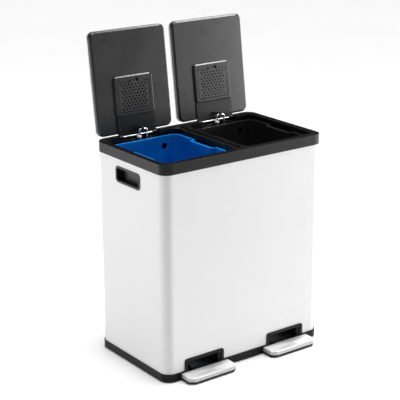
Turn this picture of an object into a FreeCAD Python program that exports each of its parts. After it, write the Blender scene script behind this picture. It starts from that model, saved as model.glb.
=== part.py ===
import FreeCAD, Part
import math
import os

V = FreeCAD.Vector
os.makedirs("parts", exist_ok=True)

# Double pedal recycling bin. Millimetres, +Z up, front towards -Y.
# Origin: middle of the footprint, on the floor.
# Modelled with both lids open and both pedals pressed down.

# ---- driving dimensions ------------------------------------------------
BODY_W = 585.0          # painted steel wrap, outside
BODY_D = 352.0
BODY_R = 30.0
SHEET = 0.5             # steel thickness of the wrap
BASE_OUT = 3.0          # how far the base ring stands proud of the wrap
BASE_Z0 = 2.0           # underside of the base tray
BASE_TOP = 26.0
FLOOR_T = 3.0
FOOT_R = 13.0

FRAME_Z0 = 634.0        # lower edge of the plastic top frame
FRAME_TOP = 665.0
FRAME_OUT = 2.5
SHELF_Z = 663.5         # shelf that the lids cover
LEDGE_Z0, LEDGE_Z1 = 640.0, 644.0
DIVIDER = 19.4          # half width of the bridge between the openings
CHANNEL_X, CHANNEL_Y0, CHANNEL_Y1 = 275.2, -152.4, 150.0   # recess that the bucket rims sit in

LID_C = 147.5           # lid centre from the middle of the bin
LID_HW = 134.0
LID_FRONT = 322.4       # distances along the lid, from the hinge axis
LID_REAR = 9.3
LID_R = 19.0
LID_UNDER = 664.2       # underside of the closed lid
TRAY_H = 16.0
SKIN_H = 7.5
LID_OPEN = 97.4         # degrees

AXIS_Y, AXIS_Z = 167.0, 660.0
ROD_R = 2.0
RUN = 0.05              # radial running clearance

BOX_HW = 68.5           # vented filter box under each lid
BOX_S0, BOX_S1 = 61.0, 182.0
BOX_H = 6.5
DOOR_HW = 53.7
DOOR_S0, DOOR_S1 = 74.4, 160.7
PITCH_X, PITCH_S, HOLE_R = 12.0, 9.0, 3.1

WIRE_R = 2.2            # lift wires
WIRE_Y = 157.0
WIRE_DX = 26.0          # wire from the lid centre
WIRE_TOP = 677.5
CAP_DX = -2.0
CAP_Z0 = 651.0
TRAVEL = 19.7

PEDAL_C = 155.0
PEDAL_HW = 86.5
PEDAL_Y0, PEDAL_Y1 = -180.5, -230.0
PIVOT_Y, PIVOT_Z = -5.0, 40.0
PEDAL_SWING = 7.0
ARM_C = 8.0             # pedal arm centre from the pedal centre
ARM_HW = 38.0
AXLE_R = 3.0

WIN_HW, WIN_TOP = 71.5, 62.0

BUCKET_X0, BUCKET_X1 = 24.5, 270.5   # rim outside, right-hand bucket
BUCKET_HY = 139.0
RIM_Z = 651.0
RIM_T = 6.9
RIM_W = 6.5
BUCKET_Z0 = 66.0
BUCKET_WALL = 1.8

CUP_Y0, CUP_Y1, CUP_Z0, CUP_Z1 = -58.0, 69.0, 562.5, 612.5


# ---- helpers -----------------------------------------------------------
def rrect(x0, x1, y0, y1, r, z=0.0):
    r = min(r, (x1 - x0) / 2 - 0.01, (y1 - y0) / 2 - 0.01)
    k = r * (1 - math.sqrt(0.5))
    p = [V(x0 + r, y0, z), V(x1 - r, y0, z), V(x1, y0 + r, z), V(x1, y1 - r, z),
         V(x1 - r, y1, z), V(x0 + r, y1, z), V(x0, y1 - r, z), V(x0, y0 + r, z)]
    m = [V(x1 - k, y0 + k, z), V(x1 - k, y1 - k, z), V(x0 + k, y1 - k, z), V(x0 + k, y0 + k, z)]
    e = []
    for i in range(4):
        a, b, c = p[2 * i], p[2 * i + 1], p[(2 * i + 2) % 8]
        e.append(Part.LineSegment(a, b).toShape())
        e.append(Part.Arc(b, m[i], c).toShape())
    return Part.Wire(e)


def prism(x0, x1, y0, y1, r, z0, z1):
    return Part.Face(rrect(x0, x1, y0, y1, r, z0)).extrude(V(0, 0, z1 - z0))


def block(x0, x1, y0, y1, z0, z1):
    return Part.makeBox(x1 - x0, y1 - y0, z1 - z0, V(x0, y0, z0))


def taper(low, high, z0, z1, r0, r1):
    return Part.makeLoft([rrect(*low, r0, z0), rrect(*high, r1, z1)], True, True)


def prism_x(y0, y1, z0, z1, r, x0, x1):
    # rounded rectangle in the YZ plane, run along X
    s = prism(y0, y1, z0, z1, r, 0, x1 - x0)
    s.Placement = FreeCAD.Placement(FreeCAD.Matrix(0, 0, 1, x0, 1, 0, 0, 0, 0, 1, 0, 0, 0, 0, 0, 1))
    return s


def prism_y(x0, x1, z0, z1, r, y0, y1):
    # rounded rectangle in the XZ plane, run along Y
    s = prism(x0, x1, z0, z1, r, 0, y1 - y0)
    s.Placement = FreeCAD.Placement(FreeCAD.Matrix(1, 0, 0, 0, 0, 0, -1, y1, 0, 1, 0, 0, 0, 0, 0, 1))
    return s


def cyl_x(r, x0, x1, y, z):
    return Part.makeCylinder(r, x1 - x0, V(x0, y, z), V(1, 0, 0))


def cyl_z(r, z0, z1, x, y):
    return Part.makeCylinder(r, z1 - z0, V(x, y, z0), V(0, 0, 1))


def poly(points, z0, z1):
    w = Part.makePolygon([V(x, y, z0) for x, y in points] + [V(points[0][0], points[0][1], z0)])
    return Part.Face(w).extrude(V(0, 0, z1 - z0))


def edges_at(shape, z, tol=0.02):
    out = []
    for e in shape.Edges:
        b = e.BoundBox
        if abs(b.ZMin - z) < tol and abs(b.ZMax - z) < tol:
            out.append(e)
    return out


def soften(shape, z, r):
    return shape.makeFillet(r, edges_at(shape, z))


def opened(shape):
    s = shape.copy()
    s.rotate(V(0, AXIS_Y, AXIS_Z), V(-1, 0, 0), LID_OPEN)
    return s


def save(name, shape):
    solids = shape.Solids
    shape = solids[0] if len(solids) == 1 else Part.makeCompound(solids)
    assert shape.isValid() and solids, name
    shape.exportStep("parts/" + name + ".step")
    print(name, len(solids), round(shape.Volume / 1000, 1), "cm3")


def sy(s):
    # distance along the closed lid from the hinge axis, as a Y coordinate
    return AXIS_Y - s


SIDES = (("left", -1), ("right", 1))
hx, hy = BODY_W / 2, BODY_D / 2

# ---- painted steel wrap ------------------------------------------------
shell = prism(-hx, hx, -hy, hy, BODY_R, BASE_Z0 + FLOOR_T, LEDGE_Z0)
shell = shell.cut(prism(-hx + SHEET, hx - SHEET, -hy + SHEET, hy - SHEET, BODY_R - SHEET, 0, 700))
for _, k in SIDES:
    c = k * PEDAL_C
    shell = shell.cut(block(c - 66.5, c + 66.5, -hy - 2, -hy + 2, 0, WIN_TOP - 4))
    shell = shell.cut(prism_x(CUP_Y0 + 2.4, CUP_Y1 - 2.4, CUP_Z0 + 2.4, CUP_Z1 - 2.4, 10.6, min(k * (hx - 3), k * (hx + 3)), max(k * (hx - 3), k * (hx + 3))))
save("body_shell", shell)

# ---- base tray with pedal windows and axle brackets --------------------
bx, by = hx + BASE_OUT, hy + BASE_OUT
base = prism(-bx, bx, -by, by, BODY_R + BASE_OUT, BASE_Z0, BASE_TOP)
base = soften(base, BASE_Z0, 1.5)
base = base.cut(prism(-hx - 0.1, hx + 0.1, -hy - 0.1, hy + 0.1, BODY_R + 0.1, BASE_Z0 + FLOOR_T, 60))
for _, k in SIDES:
    c = k * PEDAL_C
    front = prism_y(c - WIN_HW, c + WIN_HW, -20, WIN_TOP, 8, -by, -hy - 0.1).common(block(-400, 400, -300, 300, BASE_Z0 + 1, 100))
    tunnel = prism_y(c - 64.5, c + 64.5, -20, WIN_TOP - 6, 5, -hy - 0.1, -160).common(block(-400, 400, -300, 300, BASE_Z0 + 1, 100))
    base = base.fuse([front, tunnel])
    base = base.cut(prism_y(c - 61.5, c + 61.5, 8, WIN_TOP - 9, 3.5, -by - 5, -150))
    a = c + ARM_C
    for e in (-1, 1):
        x0 = a + e * (ARM_HW + 4.5) - 2.5
        cheek = prism_x(PIVOT_Y - 13, PIVOT_Y + 13, -10, PIVOT_Z + 8, 8, x0, x0 + 5).common(block(-400, 400, -300, 300, BASE_Z0 + 1, 100))
        base = base.fuse(cheek)
    base = base.cut(cyl_x(AXLE_R + 0.02, a - 50, a + 50, PIVOT_Y, PIVOT_Z))
# moulded pad that keeps the wide floor from sagging
base = base.fuse(cyl_z(30, 0, BASE_Z0 + 1, 0, 0))
save("base_tray", base.removeSplitter())

feet = [cyl_z(FOOT_R, 0, BASE_Z0, x, y) for x in (-255, 255) for y in (-135, 135)]
save("rubber_feet", Part.makeCompound(feet))

# ---- moulded top frame -------------------------------------------------
fx, fy = hx + FRAME_OUT, hy + FRAME_OUT
frame = prism(-fx, fx, -fy, fy, BODY_R + FRAME_OUT, FRAME_Z0, FRAME_TOP)
frame = soften(frame, FRAME_TOP, 1.3)
frame = frame.cut(prism(-hx - 0.1, hx + 0.1, -hy - 0.1, hy + 0.1, BODY_R + 0.1, 600, LEDGE_Z0))
frame = frame.cut(prism(-hx + 2.5, hx - 2.5, -hy + 3, 160.4, 26, SHELF_Z, 700))
for _, k in SIDES:
    lo, hi = sorted((k * (BUCKET_X0 + RIM_W - 0.6), k * (BUCKET_X1 - RIM_W + 0.6)))
    frame = frame.cut(prism(lo, hi, -BUCKET_HY + RIM_W - 0.6, BUCKET_HY - RIM_W + 0.6, 24, 600, 700))
    lo, hi = sorted((k * DIVIDER, k * CHANNEL_X))
    frame = frame.cut(prism(lo, hi, CHANNEL_Y0, CHANNEL_Y1, 22, LEDGE_Z1, 700))
    c = k * LID_C
    frame = frame.cut(block(c - 68.5, c + 68.5, 149, 174, AXIS_Z - 8, 700))
    frame = frame.cut(prism(c - 13, c + 30, 144, 168.5, 3, 600, 700))
    frame = frame.cut(cyl_x(ROD_R + 0.02, c - 77, c + 77, AXIS_Y, AXIS_Z))
frame = frame.cut(block(-6, 6, -146, 146, SHELF_Z - 3, 700))
# the moulding is hollow from below
for _, k in SIDES:
    lo, hi = sorted((k * (CHANNEL_X + 2.6), k * (hx - 3)))
    frame = frame.cut(block(lo, hi, -130, 126, 620, SHELF_Z - 2.6))
    lo, hi = sorted((k * 40, k * 250))
    frame = frame.cut(block(lo, hi, -hy + 4, CHANNEL_Y0 - 2.6, 620, SHELF_Z - 2.6))
frame = frame.cut(block(-DIVIDER + 2.6, DIVIDER - 2.6, -130, 130, 620, SHELF_Z - 5.6))
save("top_frame", frame.removeSplitter())

# ---- recessed hand grips in the side panels ----------------------------
for name, k in SIDES:
    def px(y0, y1, z0, z1, r, a, b, k=k):
        lo, hi = sorted((k * a, k * b))
        return prism_x(y0, y1, z0, z1, r, lo, hi)
    cup = px(CUP_Y0, CUP_Y1, CUP_Z0, CUP_Z1, 13, hx, hx + 1.6)
    cup = cup.fuse(px(CUP_Y0 + 4.2, CUP_Y1 - 4.2, CUP_Z0 + 4.2, CUP_Z1 - 4.2, 9.4, hx - 20, hx))
    cup = cup.cut(px(CUP_Y0 + 6.4, CUP_Y1 - 6.4, CUP_Z0 + 6.4, CUP_Z1 - 6.4, 7.6, hx - 18, hx + 5))
    save("hand_grip_" + name, cup.removeSplitter())

# ---- everything that comes in a left and a right ------------------------
axles, clips, guides = [], [], []
for name, k in SIDES:
    c = k * LID_C

    # hinge rod, held in the frame
    rod = cyl_x(ROD_R, c - 77, c + 77, AXIS_Y, AXIS_Z)
    save("hinge_rod_" + name, rod)

    # lid: painted steel skin over a moulded tray
    y0, y1 = sy(LID_FRONT), sy(LID_REAR)
    zt = LID_UNDER + TRAY_H
    tray = prism(c - LID_HW, c + LID_HW, y0, y1, LID_R, LID_UNDER, zt)
    tray = tray.makeChamfer(5.2, edges_at(tray, LID_UNDER))
    tray = soften(tray, LID_UNDER, 0.8)
    tray = tray.cut(prism(c - LID_HW + 5, c + LID_HW - 5, y0 + 5, y1 - 5, LID_R - 5, LID_UNDER + 2.5, zt + 1))
    tray = tray.cut(block(c - 57.2, c + 57.2, sy(164.2), sy(69.8), 600, LID_UNDER + 5))
    skin = prism(c - LID_HW, c + LID_HW, y0, y1, LID_R, zt, zt + SKIN_H)
    skin = soften(skin, zt + SKIN_H, 2.5)
    skin = skin.cut(prism(c - LID_HW + 0.8, c + LID_HW - 0.8, y0 + 0.8, y1 - 0.8, LID_R - 0.8, zt - 1, zt + SKIN_H - 2.6))
    skin = skin.cut(prism(c - LID_HW + 3, c + LID_HW - 3, y0 + 3, y1 - 3, LID_R - 3, zt - 1, zt + SKIN_H - 0.8))

    # vented box for the odour filter
    zb = LID_UNDER - BOX_H
    box = prism(c - BOX_HW, c + BOX_HW, sy(BOX_S1), sy(BOX_S0), 9, zb, LID_UNDER)
    box = box.makeChamfer(3.2, edges_at(box, zb))
    box = box.fuse(prism(c - 57, c + 57, sy(164), sy(70), 2, LID_UNDER, LID_UNDER + 10.5))
    box = box.cut(prism(c - 55, c + 55, sy(162), sy(72), 0.8, zb - 1, LID_UNDER + 9))
    box = box.cut(prism(c - 17, c + 17, sy(172), sy(156), 3, zb - 1, LID_UNDER - 1.6))
    pin_y, pin_z = sy(DOOR_S0), zb + 2.4
    box = box.cut(cyl_x(1.2 + 0.2, c - 57.5, c + 57.5, pin_y, pin_z))

    # perforated door: nine staggered rows of round holes
    door = block(c - DOOR_HW, c + DOOR_HW, sy(DOOR_S1), pin_y, zb + 1, zb + 3.8)
    door = door.fuse(cyl_x(1.4, c - DOOR_HW, c + DOOR_HW, pin_y, pin_z))
    door = door.fuse(cyl_x(1.2, c - 57.2, c + 57.2, pin_y, pin_z))
    door = door.fuse(prism(c - 11, c + 11, sy(DOOR_S1 + 4.4), sy(DOOR_S1 - 3), 2, zb + 1.2, zb + 3.4))
    holes = []
    for row in range(9):
        n = 8 if row % 2 == 0 else 7
        for i in range(n):
            holes.append(cyl_z(HOLE_R, zb - 1, zb + 5, c + (i - (n - 1) / 2) * PITCH_X, sy((DOOR_S0 + DOOR_S1) / 2 + (row - 4) * PITCH_S)))
    door = door.cut(Part.makeCompound(holes))
    pad = prism(c - 53.5, c + 53.5, sy(161), sy(73.5), 3, zb + 4.6, LID_UNDER + 8.9)

    # hinge plate with two knuckles and the ear that the lift wire runs in
    plate = prism(c - BOX_HW, c + BOX_HW, sy(BOX_S0), sy(3.2), 1.0, LID_UNDER - 3, LID_UNDER)
    for e in (-1, 1):
        x0, x1 = sorted((c + e * 54, c + e * 66))
        plate = plate.fuse(cyl_x(5.0, x0, x1, AXIS_Y, AXIS_Z))
        plate = plate.fuse(block(x0, x1, AXIS_Y - 9, AXIS_Y, AXIS_Z + 0.5, LID_UNDER))
    plate = plate.cut(cyl_x(ROD_R + RUN, c - 80, c + 80, AXIS_Y, AXIS_Z))
    ear = prism_x(sy(22.2), sy(4.2), AXIS_Z - 18.6, LID_UNDER + 4, 3.5, c + 7.5, c + 12.5).common(block(-400, 400, 0, 400, 0, LID_UNDER))
    ear = ear.cut(prism_x(sy(18.7), sy(7.2), AXIS_Z - 15.1, AXIS_Z + 0.8, 3, c + 5, c + 15))
    plate = plate.fuse(ear)
    plate = plate.cut(prism(c - 20, c - 4, sy(27), sy(9), 4, LID_UNDER - 4, LID_UNDER - 0.8))
    screws = []
    for e in (-1, 1):
        x, y = c + e * 60, sy(23)
        head = cyl_z(3.2, LID_UNDER - 4.4, LID_UNDER - 3, x, y)
        head = soften(head, LID_UNDER - 4.4, 0.8)
        screw = head.fuse(cyl_z(1.5, LID_UNDER - 3.2, LID_UNDER + 6, x, y))
        screws.append(screw.removeSplitter())
        plate = plate.cut(cyl_z(1.55, LID_UNDER - 5, LID_UNDER + 1, x, y))
        tray = tray.cut(cyl_z(1.55, LID_UNDER - 5, LID_UNDER + 5, x, y))

    save("lid_skin_" + name, opened(skin))
    save("lid_tray_" + name, opened(tray))
    save("filter_box_" + name, opened(box.removeSplitter()))
    save("filter_door_" + name, opened(door.removeSplitter()))
    save("filter_pad_" + name, opened(pad))
    save("hinge_plate_" + name, opened(plate.removeSplitter()))
    save("hinge_screws_" + name, opened(Part.makeCompound(screws)))

    # lift wire: up the back, over, and down to a capped end
    xw, xc, b = c + WIRE_DX, c + CAP_DX, 5.0
    h = WIRE_TOP - b
    path = [
        Part.LineSegment(V(xw, WIRE_Y, 35.4), V(xw, WIRE_Y, h)).toShape(),
        Part.Arc(V(xw, WIRE_Y, h), V(xw - b * (1 - math.sqrt(0.5)), WIRE_Y, h + b * math.sqrt(0.5)), V(xw - b, WIRE_Y, h + b)).toShape(),
        Part.LineSegment(V(xw - b, WIRE_Y, h + b), V(xc + b, WIRE_Y, h + b)).toShape(),
        Part.Arc(V(xc + b, WIRE_Y, h + b), V(xc + b * (1 - math.sqrt(0.5)), WIRE_Y, h + b * math.sqrt(0.5)), V(xc, WIRE_Y, h)).toShape(),
        Part.LineSegment(V(xc, WIRE_Y, h), V(xc, WIRE_Y, CAP_Z0 + 4)).toShape(),
    ]
    ring = Part.Wire(Part.makeCircle(WIRE_R, V(xw, WIRE_Y, 35.4), V(0, 0, 1)))
    wire = Part.Wire(path).makePipeShell([ring], True, True)
    cap = cyl_z(7.0, CAP_Z0, CAP_Z0 + 8, xc, WIRE_Y)
    cap = soften(soften(cap, CAP_Z0, 2.5), CAP_Z0 + 8, 2.5)
    cap = cap.cut(cyl_z(WIRE_R + 0.02, CAP_Z0 + 4, 680, xc, WIRE_Y))
    save("lift_wire_" + name, wire)
    save("wire_cap_" + name, cap)

    for z in (180.0, 540.0):
        g = block(xw - 12, xw + 12, WIRE_Y - 7, hy - SHEET, z, z + 14)
        guides.append(g.cut(cyl_z(WIRE_R + 0.08, z - 1, z + 20, xw, WIRE_Y)))

    # pedal: folded steel plate on a rubber pad, on a long stamped arm
    p = k * PEDAL_C

    def outline(i, p=p, back=0.0):
        x0, x1, ya, yb = p - PEDAL_HW + i, p + PEDAL_HW - i, PEDAL_Y0 + back, PEDAL_Y1 + i
        cx, cyy = 16.0 - 0.4 * i, 13.0 - 0.4 * i
        return [(x0, ya), (x1, ya), (x1, yb + cyy), (x1 - cx, yb), (x0 + cx, yb), (x0, yb + cyy)]

    def facet(lo, hi, z0, z1):
        def w(pts, z):
            q = [V(x, y, z) for x, y in pts]
            return Part.makePolygon(q + [q[0]])
        return Part.makeLoft([w(lo, z0), w(hi, z1)], True, True)

    top = poly(outline(0), 9.2, 19.4).fuse(facet(outline(0), outline(2.6), 19.4, 22)).removeSplitter()
    edges = [e for e in top.Edges if e.BoundBox.ZMin > 19.3 and e.BoundBox.YMin < PEDAL_Y0 - 1]
    top = top.makeFillet(0.7, edges)
    hollow = poly(outline(1.2, back=3), 7, 19).fuse(facet(outline(1.2, back=3), outline(3.8, back=3), 19, 20.8))
    save("pedal_plate_" + name, top.cut(hollow).removeSplitter())
    rubber = poly(outline(0.2), 4, 9.2).fuse(poly(outline(1.5), 9.2, 12))
    save("pedal_pad_" + name, rubber.removeSplitter())

    a = p + ARM_C
    side = [(-224, 12.2), (-149, 12.2), (-117, 32), (163, 32), (163, 34.5), (-118, 34.5), (-150, 14.7), (-224, 14.7)]
    w = Part.makePolygon([V(a - ARM_HW, y, z) for y, z in side] + [V(a - ARM_HW, side[0][0], side[0][1])])
    arm = Part.Face(w).extrude(V(2 * ARM_HW, 0, 0))
    for e in (-1, 1):
        x0 = a + e * (ARM_HW - 1.0) - 1.0
        web = [(-112, 32), (150, 32), (150, 38), (30, 47), (-40, 47), (-112, 38)]
        w = Part.makePolygon([V(x0, y, z) for y, z in web] + [V(x0, web[0][0], web[0][1])])
        arm = arm.fuse(Part.Face(w).extrude(V(2, 0, 0)))
    arm = arm.cut(cyl_x(AXLE_R + RUN, a - 60, a + 60, PIVOT_Y, PIVOT_Z))
    save("pedal_arm_" + name, arm.removeSplitter())
    axles.append(cyl_x(AXLE_R, a - 49, a + 49, PIVOT_Y, PIVOT_Z))
    for e in (-1, 1):
        x0 = a + e * 47.3 - 0.6
        clips.append(cyl_x(5.5, x0, x0 + 1.2, PIVOT_Y, PIVOT_Z).cut(cyl_x(AXLE_R, x0 - 1, x0 + 3, PIVOT_Y, PIVOT_Z)))

    # lift-out bucket with finger recesses in both side walls
    X0, X1 = sorted((k * BUCKET_X0, k * BUCKET_X1))
    wx0, wx1, wy = X0 + RIM_W, X1 - RIM_W, BUCKET_HY - RIM_W
    z1 = RIM_Z
    low = (wx0 + 16, wx1 - 16, -wy + 14, wy - 14)
    body = taper(low, (wx0, wx1, -wy, wy), BUCKET_Z0, z1, 26, 23)
    body = body.makeFillet(7, edges_at(body, BUCKET_Z0))
    t = BUCKET_WALL
    inner = taper((low[0] + t, low[1] - t, low[2] + t, low[3] - t), (wx0 + t, wx1 - t, -wy + t, wy - t), BUCKET_Z0 + t, z1 + 0.001, 23.6, 20.6)
    inner = inner.makeFillet(5, edges_at(inner, BUCKET_Z0 + t))
    rim = prism(X0, X1, -BUCKET_HY, BUCKET_HY, 30, z1 - RIM_T, z1)
    rim = soften(rim, z1, 1.2)
    rim = rim.cut(prism(wx0 + t, wx1 - t, -wy + t, wy - t, 20.6, z1 - 40, z1 + 1))
    notch, keep = [], []
    for x, e in ((X0, 1), (X1, -1)):
        lo, hi = sorted((x - e * 20, x + e * 16))
        notch.append(prism(lo, hi, -68, 38, 9, z1 - 70, z1 + 5))
        lo, hi = sorted((x - e * 20, x + e * (16 + RIM_W + t)))
        keep.append(prism(lo, hi, -68 - 2 * t, 38 + 2 * t, 11, z1 - 70 - t, z1 + 5))
    inner = inner.cut(keep)
    outer = body.fuse(rim)
    # the side walls step inwards over the recess, with the rim carried round it
    for x, e in ((X0, 1), (X1, -1)):
        lo, hi = sorted((x + e * 8.0, x + e * (16 + RIM_W)))
        outer = outer.fuse(prism(lo, hi, -68 - t, 38 + t, 9, z1 - RIM_T, z1))
    bucket = outer.cut(inner).cut(notch)
    bucket = bucket.cut(Part.makeCylinder(10, 20, V((X0 + X1) / 2 + 71.5, wy - 12, 620), V(0, 1, 0)))
    save("bucket_" + name, bucket.removeSplitter())

save("pedal_axles", Part.makeCompound(axles))
save("axle_clips", Part.makeCompound(clips))
save("wire_guides", Part.makeCompound(guides))
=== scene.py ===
import math
import bpy
import bmesh
from mathutils import Vector, Matrix

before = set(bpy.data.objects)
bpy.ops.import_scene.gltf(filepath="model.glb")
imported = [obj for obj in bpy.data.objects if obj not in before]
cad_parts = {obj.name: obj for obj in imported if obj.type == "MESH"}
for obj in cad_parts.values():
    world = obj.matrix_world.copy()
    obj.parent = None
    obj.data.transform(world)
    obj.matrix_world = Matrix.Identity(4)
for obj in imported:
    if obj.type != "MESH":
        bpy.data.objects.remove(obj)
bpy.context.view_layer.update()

MM = 0.001


# ------------------------------------------------------------------ materials
class Mat:
    """A small helper that wires a procedural surface."""

    def __init__(self, name, **sockets):
        self.m = bpy.data.materials.new(name)
        self.m.use_nodes = True
        self.t = self.m.node_tree
        self.t.nodes.clear()
        self.out = self.t.nodes.new("ShaderNodeOutputMaterial")
        self.b = self.t.nodes.new("ShaderNodeBsdfPrincipled")
        self.t.links.new(self.b.outputs[0], self.out.inputs["Surface"])
        for k, v in sockets.items():
            self.b.inputs[k.replace("_", " ")].default_value = v
        self.c = self.t.nodes.new("ShaderNodeTexCoord")
        self.height = None

    def node(self, kind, **props):
        n = self.t.nodes.new(kind)
        for k, v in props.items():
            setattr(n, k, v)
        return n

    def link(self, a, b):
        self.t.links.new(a, b)

    def scaled(self, sx, sy, sz, rot=(0, 0, 0)):
        n = self.node("ShaderNodeMapping")
        n.inputs["Scale"].default_value = (sx, sy, sz)
        n.inputs["Rotation"].default_value = rot
        self.link(self.c.outputs["Object"], n.inputs["Vector"])
        return n.outputs["Vector"]

    def noise(self, scale, detail=3.0, rough=0.5, vec=None, dist=0.0):
        n = self.node("ShaderNodeTexNoise")
        n.inputs["Scale"].default_value = scale
        n.inputs["Detail"].default_value = detail
        n.inputs["Roughness"].default_value = rough
        n.inputs["Distortion"].default_value = dist
        self.link(vec or self.c.outputs["Object"], n.inputs["Vector"])
        return n.outputs["Fac"]

    def ramp(self, fac, a, b, ca, cb):
        n = self.node("ShaderNodeValToRGB")
        n.color_ramp.elements[0].position = a
        n.color_ramp.elements[1].position = b
        n.color_ramp.elements[0].color = ca if len(ca) == 4 else (*ca, 1)
        n.color_ramp.elements[1].color = cb if len(cb) == 4 else (*cb, 1)
        self.link(fac, n.inputs["Fac"])
        return n.outputs["Color"]

    def span(self, fac, a, b, lo, hi):
        n = self.node("ShaderNodeMapRange")
        n.inputs["From Min"].default_value = a
        n.inputs["From Max"].default_value = b
        n.inputs["To Min"].default_value = lo
        n.inputs["To Max"].default_value = hi
        self.link(fac, n.inputs["Value"])
        return n.outputs["Result"]

    def color(self, s):
        self.link(s, self.b.inputs["Base Color"])

    def rough(self, s):
        self.link(s, self.b.inputs["Roughness"])

    def bump(self, s, strength, distance):
        n = self.node("ShaderNodeBump")
        n.inputs["Strength"].default_value = strength
        n.inputs["Distance"].default_value = distance
        self.link(s, n.inputs["Height"])
        if self.height:
            self.link(self.height, n.inputs["Normal"])
        self.height = n.outputs["Normal"]
        self.link(self.height, self.b.inputs["Normal"])

    def mul(self, a, b):
        n = self.node("ShaderNodeMath", operation="MULTIPLY")
        self.link(a, n.inputs[0])
        if isinstance(b, float):
            n.inputs[1].default_value = b
        else:
            self.link(b, n.inputs[1])
        return n.outputs[0]


def paint(name, base, dark, rough=0.32):
    m = Mat(name, Metallic=0.0)
    m.b.inputs["Coat Weight"].default_value = 0.25
    m.b.inputs["Coat Roughness"].default_value = 0.18
    m.color(m.ramp(m.noise(3.0, 4), 0.3, 0.75, dark, base))
    m.rough(m.span(m.noise(14.0, 5, 0.6), 0.3, 0.7, rough - 0.04, rough + 0.07))
    m.bump(m.noise(900.0, 2, 0.6), 0.12, 0.0002)      # orange peel of the coat
    m.bump(m.noise(6.0, 2), 0.10, 0.003)              # slight waviness of the sheet
    return m.m


def moulded(name, base, light, rough=0.45, grain=1600.0, strength=0.30, spec=0.5, painted_light_inner=None):
    m = Mat(name, Metallic=0.0)
    m.b.inputs["Specular IOR Level"].default_value = spec
    tone = m.ramp(m.noise(7.0, 2, 0.45), 0.30, 0.72, base, light)
    if painted_light_inner is not None:
        # painted light: the faces inside the wrap get a much lighter grey than the outer black, standing in for the
        # light that reaches them
        x = m.node("ShaderNodeSeparateXYZ")
        m.link(m.c.outputs["Object"], x.inputs[0])
        r = 0.028
        flat = m.node("ShaderNodeCombineXYZ")
        for axis, half in (("X", 0.2926), ("Y", 0.1762)):
            a = m.node("ShaderNodeMath", operation="ABSOLUTE")
            m.link(x.outputs[axis], a.inputs[0])
            b = m.node("ShaderNodeMath", operation="SUBTRACT")
            b.inputs[1].default_value = half - r
            m.link(a.outputs[0], b.inputs[0])
            c = m.node("ShaderNodeMath", operation="MAXIMUM")
            c.inputs[1].default_value = 0.0
            m.link(b.outputs[0], c.inputs[0])
            m.link(c.outputs[0], flat.inputs[axis])
        top = m.node("ShaderNodeVectorMath", operation="LENGTH")
        m.link(flat.outputs[0], top.inputs[0])
        # painted light colour for the faces inside the wrap, mixed in by the footprint mask
        mix = m.node("ShaderNodeMix", data_type="RGBA")
        m.link(m.span(top.outputs["Value"], r - 0.0030, r - 0.0012, 0.0, 1.0), mix.inputs["Factor"])
        m.link(m.ramp(m.noise(30.0, 4), 0.3, 0.7, painted_light_inner, [v * 1.3 for v in painted_light_inner]), mix.inputs[6])
        m.link(tone, mix.inputs[7])
        tone = mix.outputs[2]
    m.color(tone)
    m.rough(m.span(m.noise(10.0, 2, 0.45), 0.3, 0.7, rough - 0.012, rough + 0.028))
    v = m.node("ShaderNodeTexVoronoi")
    v.inputs["Scale"].default_value = grain
    m.link(m.c.outputs["Object"], v.inputs["Vector"])
    m.bump(v.outputs["Distance"], strength, 0.0002)   # spark-eroded grain
    m.bump(m.noise(5.0, 1), 0.02, 0.003)
    return m.m


def steel(name, base, light, rough, stretch=(2.0, 260.0, 260.0), aniso=0.0, strength=0.2, side_painted_shade=None):
    m = Mat(name, Metallic=1.0)
    m.b.inputs["Anisotropic"].default_value = aniso
    lines = m.noise(9.0, 6, 0.7, vec=m.scaled(*stretch))
    tone = m.ramp(lines, 0.3, 0.7, base, light)
    if side_painted_shade is not None:
        # painted shade: faces whose normal points sideways get a darker tone than the upward faces
        x = m.node("ShaderNodeSeparateXYZ")
        m.link(m.c.outputs["Normal"], x.inputs[0])
        mix = m.node("ShaderNodeMix", data_type="RGBA", blend_type="MULTIPLY")
        mix.inputs["Factor"].default_value = 1.0
        m.link(tone, mix.inputs[6])
        m.link(m.ramp(x.outputs["Z"], 0.35, 0.9, (side_painted_shade, side_painted_shade, side_painted_shade), (1, 1, 1)), mix.inputs[7])
        tone = mix.outputs[2]
    m.color(tone)
    m.rough(m.span(lines, 0.25, 0.75, rough - 0.07, rough + 0.10))
    m.bump(lines, strength, 0.0002)
    return m.m


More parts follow.
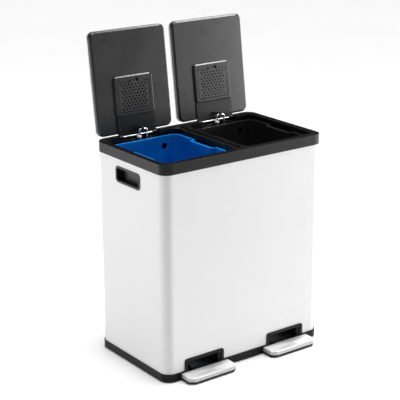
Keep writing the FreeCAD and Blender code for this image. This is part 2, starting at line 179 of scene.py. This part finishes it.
MATS = {
    "white": paint("white_coat", (0.68, 0.68, 0.68), (0.66, 0.66, 0.663)),
    "black": moulded("black_mould", (0.0050, 0.0050, 0.0052), (0.0085, 0.0085, 0.0088), 0.36, spec=0.13, painted_light_inner=(0.16, 0.16, 0.161)),
    "grip": moulded("grip_mould", (0.0070, 0.0070, 0.0072), (0.0110, 0.0110, 0.0113), 0.30, spec=0.30),
    "frame": moulded("frame_mould", (0.0050, 0.0050, 0.0052), (0.0080, 0.0080, 0.0083), 0.27, spec=0.22),
    "lid": moulded("lid_mould", (0.0176, 0.0176, 0.0178), (0.0190, 0.0190, 0.0193), 0.27, 1300.0, 0.12, 0.50),
    "door": moulded("door_mould", (0.0120, 0.0120, 0.0123), (0.0145, 0.0145, 0.0148), 0.30, 1300.0, 0.16, 0.46),
    "box": moulded("filter_mould", (0.0140, 0.0140, 0.0142), (0.0165, 0.0165, 0.0168), 0.25, 1300.0, 0.12, 0.50),
    "plate": moulded("hinge_mould", (0.0055, 0.0055, 0.0057), (0.0085, 0.0085, 0.0088), 0.30, 1300.0, 0.16, 0.26),
    "cap": moulded("nylon_white", (0.93, 0.93, 0.92), (0.96, 0.96, 0.95), 0.30, 2200.0, 0.10),
    "nylon": moulded("nylon_black", (0.010, 0.010, 0.010), (0.018, 0.018, 0.018), 0.38),
    "rubber": moulded("rubber_black", (0.004, 0.004, 0.004), (0.008, 0.008, 0.008), 0.70, 1000.0, 0.35, 0.10),
    "blue": moulded("bucket_blue", (0.0, 0.190, 0.63), (0.001, 0.220, 0.70), 0.26, 1500.0, 0.14, 0.55),
    "dark": moulded("bucket_black", (0.0180, 0.0180, 0.0182), (0.0240, 0.0240, 0.0243), 0.26, 1500.0, 0.14, 0.60),
    "bright": steel("wire_steel", (0.80, 0.80, 0.81), (0.92, 0.92, 0.93), 0.30, (40.0, 40.0, 40.0), 0.0, 0.08),
    "brushed": steel("pedal_steel", (0.72, 0.72, 0.72), (0.94, 0.94, 0.94), 0.62, (3.0, 420.0, 420.0), 0.30, 0.34, 0.60),
    "coated": moulded("black_coated_steel", (0.090, 0.090, 0.090), (0.120, 0.120, 0.120), 0.40, 1400.0, 0.20, 0.45),
    "screw": steel("screw_black", (0.05, 0.05, 0.05), (0.09, 0.09, 0.09), 0.34, (60.0, 60.0, 60.0), 0.0, 0.10),
    "foam": moulded("filter_foam", (0.0008, 0.0008, 0.0008), (0.0020, 0.0020, 0.0020), 0.90, 420.0, 1.0, 0.05),
}

LOOK = {
    "body_shell": "white", "base_tray": "black", "rubber_feet": "rubber", "top_frame": "frame",
    "hinge_rod": "bright", "pedal_axles": "bright", "axle_clips": "bright", "wire_guides": "nylon",
    "hand_grip": "grip", "lid_skin": "white", "lid_tray": "lid", "filter_box": "box", "filter_pad": "foam",
    "hinge_plate": "plate", "hinge_screws": "screw", "filter_door": "door", "pedal_plate": "brushed",
    "pedal_pad": "rubber", "pedal_arm": "coated", "lift_wire": "bright", "wire_cap": "cap",
    "bucket_left": "blue", "bucket_right": "dark",
}


def look_of(node):
    for key, value in LOOK.items():
        if node.startswith(key):
            return MATS[value]
    raise KeyError(node)


for name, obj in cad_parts.items():
    mat = look_of(name)
    if not obj.material_slots:
        obj.data.materials.append(mat)
    for s in obj.material_slots:
        s.material = mat


# ------------------------------------------------------------------ stage, light, camera
def stage_floor():
    bm = bmesh.new()
    bmesh.ops.create_grid(bm, x_segments=2, y_segments=2, size=9.0)
    me = bpy.data.meshes.new("floor")
    bm.to_mesh(me)
    bm.free()
    o = bpy.data.objects.new("floor", me)
    bpy.context.scene.collection.objects.link(o)
    m = Mat("floor_pale", Roughness=0.6)
    m.b.inputs["Specular IOR Level"].default_value = 0.2
    m.color(m.ramp(m.noise(2.0, 2), 0.3, 0.7, (0.965, 0.965, 0.965), (0.975, 0.975, 0.975)))
    me.materials.append(m.m)


def area(name, loc, target, size, size_y, power, spread=180.0, color=(1, 1, 1)):
    d = bpy.data.lights.new(name, "AREA")
    d.shape = "RECTANGLE"
    d.size, d.size_y, d.energy, d.color = size, size_y, power, color
    d.spread = math.radians(spread)
    o = bpy.data.objects.new(name, d)
    o.location = loc
    o.rotation_euler = (Vector(target) - Vector(loc)).to_track_quat("-Z", "Y").to_euler()
    bpy.context.scene.collection.objects.link(o)


def studio_sky(horizon, zenith, power):
    """A soft overhead light that fades towards the horizon."""
    world = bpy.data.worlds.new("studio")
    world.use_nodes = True
    t = world.node_tree
    c = t.nodes.new("ShaderNodeTexCoord")
    x = t.nodes.new("ShaderNodeSeparateXYZ")
    up = t.nodes.new("ShaderNodeMath")
    up.operation = "MAXIMUM"
    up.inputs[1].default_value = 0.0
    pw = t.nodes.new("ShaderNodeMath")
    pw.operation = "POWER"
    pw.inputs[1].default_value = power
    ma = t.nodes.new("ShaderNodeMath")
    ma.operation = "MULTIPLY_ADD"
    ma.inputs[1].default_value = zenith
    ma.inputs[2].default_value = horizon
    t.links.new(c.outputs["Generated"], x.inputs[0])
    t.links.new(x.outputs["Z"], up.inputs[0])
    t.links.new(up.outputs[0], pw.inputs[0])
    t.links.new(pw.outputs[0], ma.inputs[0])
    t.links.new(ma.outputs[0], t.nodes["Background"].inputs["Strength"])
    t.nodes["Background"].inputs["Color"].default_value = (1, 1, 1, 1)
    bpy.context.scene.world = world


stage_floor()
studio_sky(0.06, 10.8, 20.0)
area("left", (-3.2, 2.0, 0.62), (0, 0, 0.45), 2.0, 1.1, 43, 150.0)
area("right", (3.9, -2.1, 0.72), (0, 0, 0.50), 2.2, 1.3, 112, 150.0)
area("upper_right", (1.85, -0.10, 3.40), (0, 0.15, 0.80), 1.0, 0.8, 22, 110.0)
bpy.context.scene.view_settings.view_transform = "Standard"

AZ, EL, ROLL, F = math.radians(-36.455), math.radians(17.885), math.radians(-0.248), 1268.381
cam_d = bpy.data.cameras.new("cam")
cam_d.sensor_width = 36.0
cam_d.lens = F / 400.0 * 36.0
cam_d.clip_end = 60
cam = bpy.data.objects.new("cam", cam_d)
back = Vector((math.sin(AZ) * math.cos(EL), -math.cos(AZ) * math.cos(EL), math.sin(EL)))
right = (-back).cross(Vector((0, 0, 1))).normalized()
up = back.cross(right)
r2 = right * math.cos(ROLL) + up * math.sin(ROLL)
u2 = up * math.cos(ROLL) - right * math.sin(ROLL)
rot = Matrix((r2, u2, back)).transposed()
cam.matrix_world = Matrix.Translation(Vector((-2.208501, -2.937927, 1.65105))) @ rot.to_4x4()
bpy.context.scene.collection.objects.link(cam)
bpy.context.scene.camera = cam
